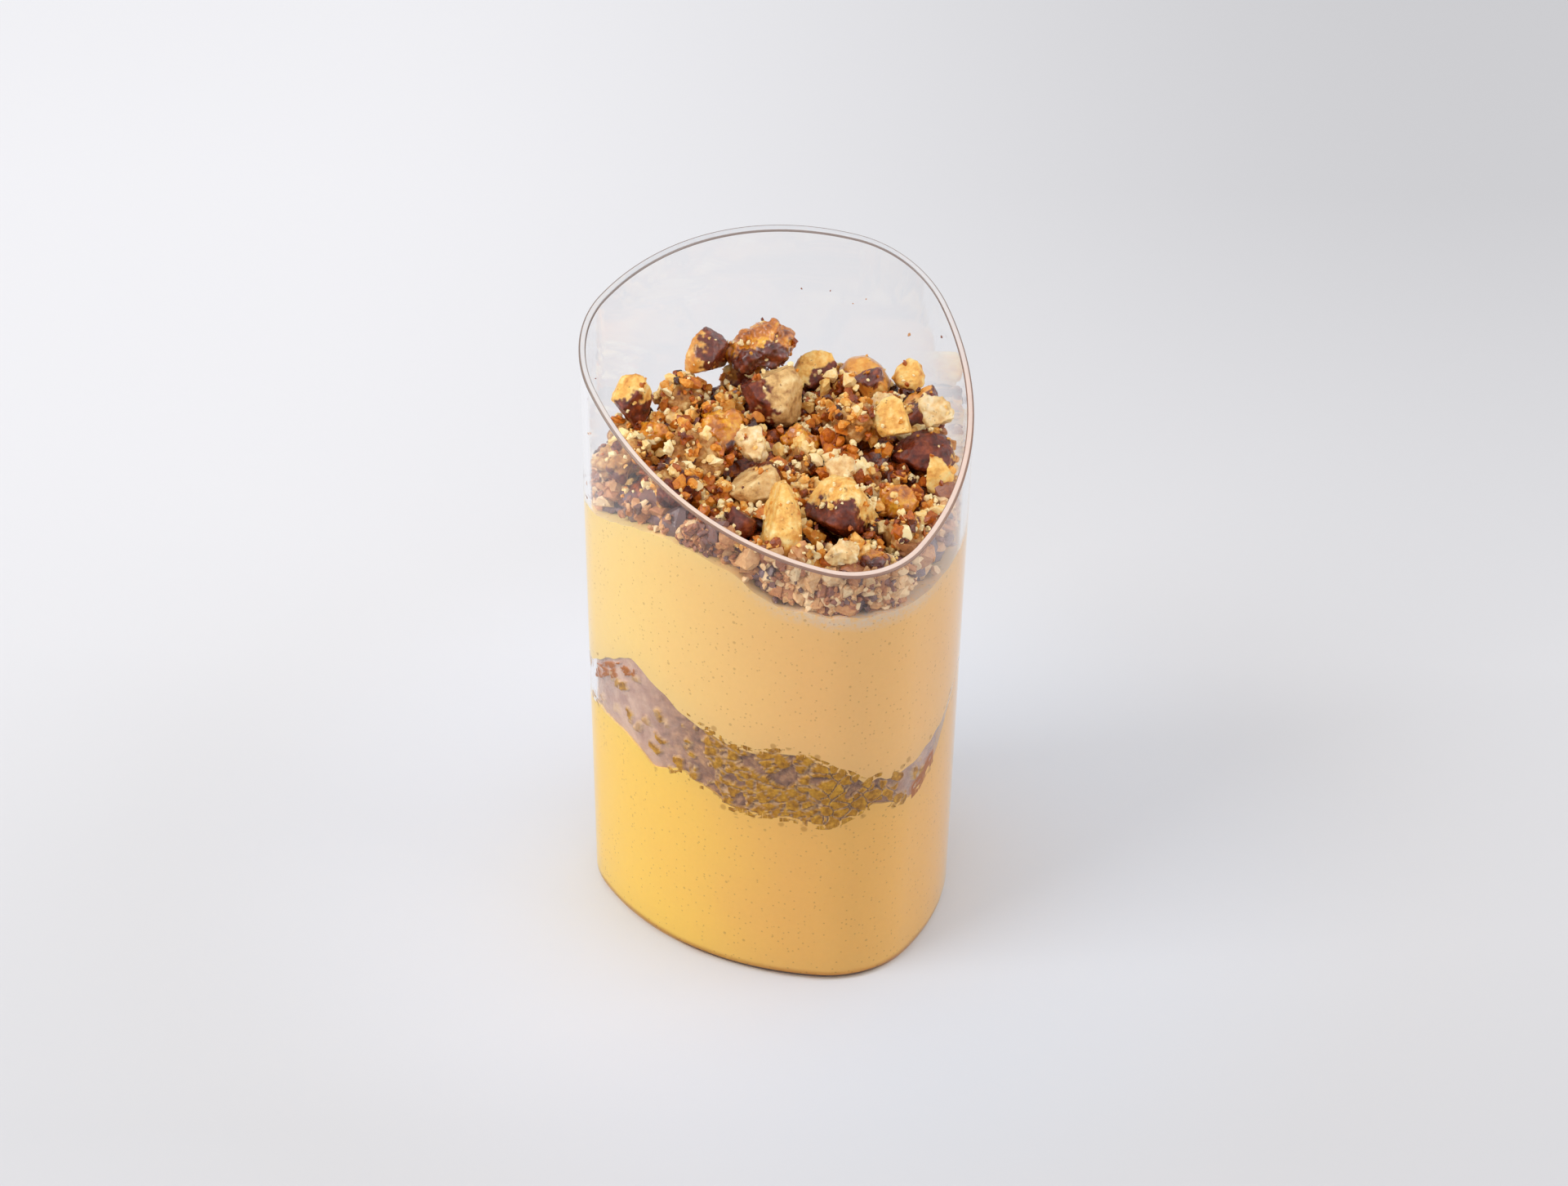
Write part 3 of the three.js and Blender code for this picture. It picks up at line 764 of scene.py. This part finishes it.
def nutMaterial(kind):
    dark, plain, pale = (tint(*colour) for colour in fleshes[kind]["colours"])
    glaze, candied = kind in glazed, kind in ("amber", "toffee")
    material, tree, body = newMaterial(
        kind + "Nut", Specular_IOR_Level=0.45, Subsurface_Weight=0.15 if candied else 0.1,
        Subsurface_Radius=(1.0, 0.5, 0.2), Subsurface_Scale=1.6 * mm,
        Coat_Weight=1.0 if candied else 0.6 if glaze else 0.1, Coat_Roughness=0.06 if candied else 0.12,
    )
    place = objectPlace(tree)
    skin = readPaint(tree, "skin")
    flesh = ramp(tree, grain(tree, place, 1.6, 4.0, 0.62), [(0.3, dark), (0.5, plain), (0.7, pale)])
    specks = step(tree, grain(tree, place, 0.55, 2.0, 0.5), 0.66, 0.74)
    flesh = blendColour(tree, sums(tree, "MULTIPLY", specks, 0.7), flesh, tint(122, 66, 26))
    husk = ramp(tree, grain(tree, place, 1.3, 4.0, 0.6), [
        (0.3, tint(58, 18, 10)), (0.52, tint(110, 40, 18)), (0.72, tint(158, 74, 34))])
    tree.links.new(blendColour(tree, skin, flesh, husk), body.inputs["Base Color"])
    shine = node(tree, "MapRange", {"Value": skin, "To Min": 0.32 if glaze else 0.5, "To Max": 0.24})
    tree.links.new(shine.outputs["Result"], body.inputs["Roughness"])
    bump(tree, body, grain(tree, place, 0.45, 5.0, 0.75), 0.22, 0.7)
    return material


def reliefTexture(name, kind, size):
    texture = bpy.data.textures.get(name) or bpy.data.textures.new(name, kind)
    texture.noise_scale = size * mm
    return texture


def chipPiece(obj, name, centre, half, breaks):
    # breaks facets off a piece, after swelling it to fill its clearance
    dice = random.Random(name)
    planes = [((viewTurn @ Vector(way)).normalized(), share) for way, share in cuts.get(name, [])]
    for chip in range(0 if planes else nuts["chips"]):
        way = Vector([dice.gauss(0, 1) for axis in range(3)]).normalized()
        planes.append((way, dice.uniform(*breaks)))
    editAll(obj)
    bpy.ops.transform.resize(value=(nuts["swell"],) * 3, center_override=centre)
    for way, share in planes:
        depth = share * sum(abs(part * size) for part, size in zip(way, half))
        bpy.ops.mesh.select_all(action="SELECT")
        bpy.ops.mesh.bisect(plane_co=centre + way * depth, plane_no=way, use_fill=True, clear_outer=True)
    leaveEdit()


def makePiece(name, kind, skinSide, bare):
    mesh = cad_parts[name].data.copy()
    obj = bpy.data.objects.new(name + "Broken", mesh)
    bpy.context.scene.collection.objects.link(obj)
    tidyMesh(obj, 0.01 * mm)
    look = fleshes[kind]
    low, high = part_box(name)
    centre, reach = (low + high) / 2, (high - low).length / 2
    if look["breaks"]:
        chipPiece(obj, name, centre, (high - low) / 2, look["breaks"])
    for shift, radius in webs.get(name, []):
        editAll(obj)
        middle = centre + viewTurn @ Vector(shift) * mm
        bpy.ops.mesh.primitive_ico_sphere_add(subdivisions=2, radius=radius * mm, location=middle)
        leaveEdit()
    modify(obj, "REMESH", mode="VOXEL", voxel_size=nuts["voxel"] * mm)
    modify(obj, "SMOOTH", factor=0.5, iterations=look["rounds"])
    size, depth = look["lump"]
    form = "VORONOI" if kind in ("cluster", "ivory") else "CLOUDS"
    modify(obj, "DISPLACE", texture=reliefTexture(kind + "Lumps", form, size),
           texture_coords="LOCAL", strength=-depth * mm if form == "VORONOI" else depth * mm, mid_level=0.5)
    size, depth = look["chip"]
    modify(obj, "DISPLACE", texture=reliefTexture(kind + "Chips", "CLOUDS", size),
           texture_coords="LOCAL", strength=depth * mm, mid_level=0.5)
    side = (viewTurn @ Vector(skinSide)).normalized()
    covered = []
    for corner in obj.data.vertices:
        waver = 0.3 * noise.noise(corner.co / mm / 1.4) + 0.15 * noise.noise(corner.co / mm / 0.5)
        covered.append(between((corner.co - centre).dot(side) / reach + waver, bare - 0.05, bare + 0.05))
    paint(obj, "skin", covered)
    smooth(obj, 180)
    dress(obj, nutMaterials[kind])
    declare(obj, slotOf[name.rstrip("0123456789").rstrip("_")], name)
    return obj


nutMaterials = {kind: nutMaterial(kind) for kind in fleshes}
heap = [makePiece(name, *look) for name, look in pieces.items()]
print("topping pieces broken:", len(heap))


# Crumble: a rough bed below the larger pieces, and loose crumbs on and round everything

bed = dict(clearOfWall=1.5, sunk=0.7, voxel=0.4, lumps=[(4.2, 2.0), (1.5, 0.9)], shadow=(122, 94, 98))
crumbTints = dict(  # nut cream to burnt caramel, and the same behind the wall, paler and mauve-grey with the darks lifted: partly the greasy film on the wall, partly a painted veil of the wall's reflection
    stops=(0.0, 0.2, 0.4, 0.58, 0.74, 0.88, 1.0),
    loose=(
        (253, 232, 178), (248, 204, 118), (230, 146, 34), (196, 102, 10), (146, 62, 4), (92, 32, 3), (56, 17, 3)),
    veiled=(
        (238, 206, 160), (220, 168, 112), (194, 130, 80), (166, 102, 66), (140, 86, 66), (124, 88, 80), (108, 82, 80)),
)
crumbs = dict(
    seed=5, masters=16, lumps=(2, 3), perClump=(3, 9), clumpSpread=1.3,
    keptOff=1.2,  # loose crumbs leave the wall to the greasy ones
    strays=18, strayHeights=(76, 2.5), straySizes=(0.25, 0.7),  # lowest, and room below the rim
    wallClumps=95, wallSpread=1.5, wallSizes=(1.2, 5.6),
    # crumbs on each square millimetre of a piece, their sizes and how dark they are
    crusts=dict(
        cluster=(0.5, 0.8, 2.9, -0.02), amber=(0.1, 0.5, 1.8, -0.1), beige=(0.06, 0.3, 0.9, -0.3),
        yellow=(0.07, 0.3, 1.1, -0.3), ivory=(0.2, 0.4, 1.6, -0.3), orange=(0.02, 0.3, 0.7, -0.3),
        kernel=(0.05, 0.3, 0.9, -0.3), wedge=(0.04, 0.3, 0.8, -0.3), toffee=(0.1, 0.5, 1.8, -0.05),
    ),
    # clumps, smallest, largest, share kept on nuts, how dark
    falls=[(120, 1.8, 4.4, 0.0, 0.06), (270, 1.2, 3.2, 0.0, -0.03), (320, 0.5, 1.6, 0.16, -0.2)],
    tones=[(0.06, 0.24), (0.2, 0.2), (0.4, 0.2), (0.58, 0.16), (0.76, 0.12), (0.92, 0.08)],
)


def crumbleMaterial(name, tints, grainSize=None):
    material, tree, body = newMaterial(
        name, Specular_IOR_Level=0.6, Subsurface_Weight=0.05, Subsurface_Radius=(1.0, 0.5, 0.2),
        Subsurface_Scale=0.8 * mm,
    )
    place = objectPlace(tree)
    if grainSize:
        # the bed is darker than the loose crumbs: partly the caramel that binds them, partly painted shade in the gaps
        # between the pieces
        shade = sums(tree, "ADD", grain(tree, place, grainSize, 4.0, 0.6), 0.32)
    else:
        shade = readPaint(tree, "tone")
    fine = sums(tree, "MULTIPLY", sums(tree, "SUBTRACT", grain(tree, place, 0.5, 3.0), 0.5), 0.5)
    stops = [(stop, tint(*colour)) for stop, colour in zip(crumbTints["stops"], tints)]
    colour = ramp(tree, sums(tree, "ADD", shade, fine), stops)
    if grainSize:
        colour = blendColour(tree, readPaint(tree, "wallSide"), colour, tint(*bed["shadow"]))
    tree.links.new(colour, body.inputs["Base Color"])
    gloss = node(tree, "MapRange", {
        "Value": shade, "From Min": 0.45, "From Max": 0.8, "To Min": 0.55, "To Max": 0.14})
    tree.links.new(gloss.outputs["Result"], body.inputs["Roughness"])
    bump(tree, body, grain(tree, place, 0.3, 3.0, 0.7), 0.12, 0.7)
    return material


def makeBed():
    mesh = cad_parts["crumble_bed"].data.copy()
    obj = bpy.data.objects.new("crumbleBed", mesh)
    bpy.context.scene.collection.objects.link(obj)
    tidyMesh(obj, 0.01 * mm)
    for corner in obj.data.vertices:
        room, away = wallGap(corner.co)
        if room < bed["clearOfWall"]:
            corner.co -= away * (bed["clearOfWall"] - room) * mm
        if corner.normal.z > 0.5:
            corner.co.z -= bed["sunk"] * mm
    modify(obj, "REMESH", mode="VOXEL", voxel_size=bed["voxel"] * mm)
    paint(obj, "wallSide", [between(wallGap(corner.co)[0], 3.6, 2.0) for corner in obj.data.vertices])
    for count, (size, depth) in enumerate(bed["lumps"]):
        modify(obj, "DISPLACE", texture=reliefTexture("bedLumps" + str(count), "VORONOI", size),
               texture_coords="LOCAL", strength=-depth * mm, mid_level=0.4)
    smooth(obj, 180)
    dress(obj, crumbleMaterial("crumbleBedMix", crumbTints["loose"], 1.6))
    declare(obj, "crumble", "crumble_bed")
    return obj


def crumbLump(dice, seed):
    # a ball shaken, squeezed and chipped all round
    restart()
    bpy.ops.mesh.primitive_ico_sphere_add(subdivisions=1, radius=0.6)
    obj = bpy.context.object
    bpy.ops.object.mode_set(mode="EDIT")
    bpy.ops.mesh.select_all(action="SELECT")
    bpy.ops.transform.vertex_random(offset=0.14, seed=seed)
    bpy.ops.transform.resize(value=(1.0, dice.uniform(0.5, 0.9), dice.uniform(0.35, 0.7)))
    for chip in range(6):
        way = Vector([dice.gauss(0, 1) for axis in range(3)]).normalized()
        depth = dice.uniform(0.16, 0.34)
        bpy.ops.mesh.select_all(action="SELECT")
        bpy.ops.mesh.bisect(plane_co=way * depth, plane_no=way, use_fill=True, clear_outer=True)
    leaveEdit()
    return obj


def crumbMaster(dice, index):
    # one ragged crumb about a unit wide, of a few lumps that stick together
    corners, faces = [], []
    for part in range(dice.randint(*crumbs["lumps"])):
        obj = crumbLump(dice, index * 4 + part + 1)
        shift = Vector([dice.gauss(0, 0.2) for axis in range(3)]) * (part > 0)
        size = dice.uniform(0.45, 0.8) if part else 1.0
        rotate = anyTurn(dice).to_matrix() * size
        first = len(corners)
        corners += [shift + rotate @ corner.co for corner in obj.data.vertices]
        faces += [tuple(first + i for i in side.vertices) for side in obj.data.polygons]
        bpy.data.objects.remove(obj)
    return corners, faces


def joinCrumbs(name, spots, shapes, material):
    corners, faces, tones = [], [], []
    for place, size, turn, index, tone in spots:
        points, sides = shapes[index]
        first = len(corners)
        rotate = turn.to_matrix() * (size * mm)
        corners.extend(place + rotate @ point for point in points)
        faces.extend(tuple(first + i for i in side) for side in sides)
        tones.extend([tone] * len(points))
    mesh = bpy.data.meshes.new(name)
    mesh.from_pydata(corners, [], faces)
    obj = bpy.data.objects.new(name, mesh)
    bpy.context.scene.collection.objects.link(obj)
    paint(obj, "tone", tones)
    smooth(obj, 28)
    dress(obj, material)
    declare(obj, "crumble")
    return obj


def drawTone(dice, darker):
    levels, weights = zip(*crumbs["tones"])
    return min(max(dice.choices(levels, weights)[0] + dice.gauss(darker, 0.07), 0.0), 1.0)


def anyTurn(dice):
    return Euler([dice.uniform(0, 2 * math.pi) for axis in range(3)])


def wallCrumbs(dice):
    # clumps of crumbs behind the wall, with dark gaps left between them
    spots = []
    small, large = crumbs["wallSizes"]
    for clump in range(crumbs["wallClumps"]):
        middle = dice.uniform(-math.pi, math.pi)
        low = mousseTop(middle) + 0.5
        high = max(70.4 + 3.7 * facing(polarAngle(middle), (204, 58)), low + 1.5)
        level, darker = dice.uniform(low, high), dice.gauss(-0.03, 0.15)
        for count in range(dice.randint(5, 12)):
            size = small + (large - small) * dice.random() ** 1.7
            bearing = middle + dice.gauss(0, crumbs["wallSpread"]) / 26
            height = max(level + dice.gauss(0, crumbs["wallSpread"]), mousseTop(bearing) + 0.25 * size)
            inset = cup["wall"] + 0.46 * size + dice.uniform(0.02, 0.7)
            spots.append((wallPoint(bearing, inset, min(height, high + 0.8)), size, anyTurn(dice),
                          dice.randrange(crumbs["masters"]), drawTone(dice, darker)))
    return spots


def strayCrumbs(dice):
    # a few specks that stick to the bare wall above the filling
    spots = []
    low, clear = crumbs["strayHeights"]
    for count in range(crumbs["strays"]):
        bearing = dice.uniform(-math.pi, math.pi)
        top = rimHeight(bearing, cup["wall"], clear)
        if top <= low:
            continue
        size = dice.uniform(*crumbs["straySizes"])
        place = wallPoint(bearing, cup["wall"] + 0.2 * size, dice.uniform(low, top))
        spots.append((place, size, anyTurn(dice), dice.randrange(crumbs["masters"]), dice.uniform(0.3, 0.9)))
    return spots


def crustCrumbs(dice, obj, share, small, large, darker):
    # crumbs stuck all over a piece, as many as its area calls for
    sides = [side for side in obj.data.polygons if side.normal.z > -0.4]
    sizes = [side.area for side in sides]
    spots = []
    for side in dice.choices(sides, sizes, k=int(share * sum(sizes) / mm ** 2)):
        size = small + (large - small) * dice.random() ** 1.8
        place = side.center + side.normal * (0.15 * size * mm)
        if wallGap(place)[0] > 0.5 * size + crumbs["keptOff"]:
            spots.append((place, size, anyTurn(dice), dice.randrange(crumbs["masters"]), drawTone(dice, darker)))
    return spots


def groundTree(objects):
    corners, faces, owners = [], [], []
    for obj in objects:
        first = len(corners)
        corners.extend(corner.co for corner in obj.data.vertices)
        faces.extend(tuple(first + i for i in side.vertices) for side in obj.data.polygons)
        owners.extend([obj.name] * len(obj.data.polygons))
    return BVHTree.FromPolygons(corners, faces), owners


def fallingCrumbs(dice, ground, clumps, small, large, onNuts, darker):
    # crumbs dropped in loose clumps, with bare caramel left between them
    tree, owners = groundTree(ground)
    spread = crumbs["clumpSpread"]
    spots = []
    for clump in range(clumps):
        middle = Vector((dice.uniform(-27, 27), dice.uniform(-29, 29), cup["backHeight"]))
        shade = dice.gauss(darker, 0.1)
        for count in range(dice.randint(*crumbs["perClump"])):
            start = (middle + Vector((dice.gauss(0, spread), dice.gauss(0, spread), 0))) * mm
            size = small + (large - small) * dice.random() ** 1.6
            hit, normal, index, distance = tree.ray_cast(start, Vector((0, 0, -1)))
            if hit is None or wallGap(hit)[0] < 0.5 * size + crumbs["keptOff"]:
                continue
            if owners[index].endswith(("Broken", "crustCrumbs")) and dice.random() > onNuts:
                continue
            place = hit + normal * (0.2 * size * mm)
            spots.append((place, size, anyTurn(dice), dice.randrange(crumbs["masters"]), drawTone(dice, shade)))
    return spots


def makeCrumbs():
    dice = random.Random(crumbs["seed"])
    shapes = [crumbMaster(dice, index) for index in range(crumbs["masters"])]
    material = crumbleMaterial("looseCrumbs", crumbTints["loose"])
    veiled = crumbleMaterial("veiledCrumbs", crumbTints["veiled"])
    ground = [makeBed(), *heap]
    ground.append(joinCrumbs("wallCrumbs", wallCrumbs(dice) + strayCrumbs(random.Random(7)), shapes, veiled))
    crust = []
    for obj, (kind, side, bare) in zip(heap, pieces.values()):
        crust += crustCrumbs(dice, obj, *crumbs["crusts"][kind])
    ground.append(joinCrumbs("crustCrumbs", crust, shapes, material))
    for layer, fall in enumerate(crumbs["falls"]):
        spots = fallingCrumbs(dice, ground, *fall)
        ground.append(joinCrumbs("crumbFall" + str(layer + 1), spots, shapes, material))


makeCrumbs()
print("crumbs scattered")


# Stage: a pale floor with painted light falloff and shade, and soft studio light from the left

studio = dict(
    floorSize=3.0, floorDrop=0.05, floorDepth=(-0.06, 0.2), floorMiddle=0.45,
    floorLeft=(0.615, 0.735, 0.775), floorRight=(0.6, 0.67, 0.55),  # near, middle and far greys, painted light falloff: paler on the lamp's side, greyer to the right where the shade falls
    floorCast=(1.0, 0.994, 1.018),
    floorLift=((1.1, 1.13, 1.19, 1), (1.03, 1.08, 1.14, 1)), liftReach=(0.1, 0.03),  # painted light: the floor lightened and cooled by the cup, left and right, against its shade and the warm light bounced off the dessert
    worldColour=(0.98, 0.985, 1.0, 1), worldStrength=0.86, backdrop=(0.84, 0.84, 0.86, 1), aim=(0, 0, 0.04),
    lamps=dict(  # place and size in metres, power in watts
        key=((-0.86, -0.02, 0.72), 0.6, 5.4), fill=((0.75, -0.55, 0.5), 0.8, 3.0),
    ),
)


def floorMaterial():
    material, tree, body = newMaterial("paleFloor", Roughness=0.9, Specular_IOR_Level=0.1)
    place = objectPlace(tree)
    turned = node(tree, "Mapping", {"Vector": place, "Rotation": (0, 0, math.radians(view["azimuth"]))})
    across = node(tree, "SeparateXYZ", {0: turned.outputs[0]}).outputs
    near, far = studio["floorDepth"]
    depth = node(tree, "MapRange", {"Value": across["Y"], "From Min": near, "From Max": far}).outputs["Result"]
    sides = []
    for greys in (studio["floorLeft"], studio["floorRight"]):
        tones = [tuple(grey * part for part in studio["floorCast"]) for grey in greys]
        sides.append(ramp(tree, depth, list(zip((0.0, studio["floorMiddle"], 1.0), tones))))
    # painted light: the floor's greys fall off to the right and with depth, and are lightened by the cup
    colour = blendColour(tree, step(tree, across["X"], -0.09, 0.13), *sides)
    distance = node(tree, "VectorMath", {0: place}, operation="LENGTH").outputs["Value"]
    lift = blendColour(tree, step(tree, across["X"], -0.03, 0.03), *studio["floorLift"])
    colour = blendColour(tree, step(tree, distance, *studio["liftReach"]), colour, lift, "MULTIPLY")
    tree.links.new(colour, body.inputs["Base Color"])
    return material


def makeStage():
    restart()
    bpy.ops.mesh.primitive_plane_add(size=studio["floorSize"], location=(0, 0, -studio["floorDrop"] * mm))
    floor = bpy.context.object
    floor.name = "studioFloor"
    dress(floor, floorMaterial())
    world = bpy.data.worlds.new("studioWorld")
    world.use_nodes = True
    bpy.context.scene.world = world
    tree = world.node_tree
    light = tree.nodes["Background"]
    light.inputs["Color"].default_value = studio["worldColour"]
    light.inputs["Strength"].default_value = studio["worldStrength"]
    seen = node(tree, "Background", {"Color": studio["backdrop"], "Strength": 1.0})
    path = node(tree, "LightPath")
    rays = sums(tree, "MAXIMUM", path.outputs["Is Camera Ray"], path.outputs["Is Glossy Ray"])
    rays = sums(tree, "MAXIMUM", rays, path.outputs["Is Transmission Ray"])
    mixed = node(tree, "MixShader", {0: rays})
    tree.links.new(light.outputs[0], mixed.inputs[1])
    tree.links.new(seen.outputs[0], mixed.inputs[2])
    tree.links.new(mixed.outputs[0], tree.nodes["World Output"].inputs["Surface"])


def makeLamps():
    for name, (place, size, power) in studio["lamps"].items():
        lamp = bpy.data.lights.new(name + "Light", "AREA")
        lamp.energy, lamp.size = power, size
        obj = bpy.data.objects.new(name + "Light", lamp)
        bpy.context.scene.collection.objects.link(obj)
        obj.location = place
        obj.rotation_euler = (Vector(studio["aim"]) - Vector(place)).to_track_quat("-Z", "Y").to_euler()


makeStage()
makeLamps()
bpy.context.scene.view_settings.view_transform = "Standard"
bounces = bpy.context.scene.cycles  # light runs a long way inside a clear wall
bounces.max_bounces, bounces.glossy_bounces, bounces.transmission_bounces = 32, 24, 32
print("stage lit")
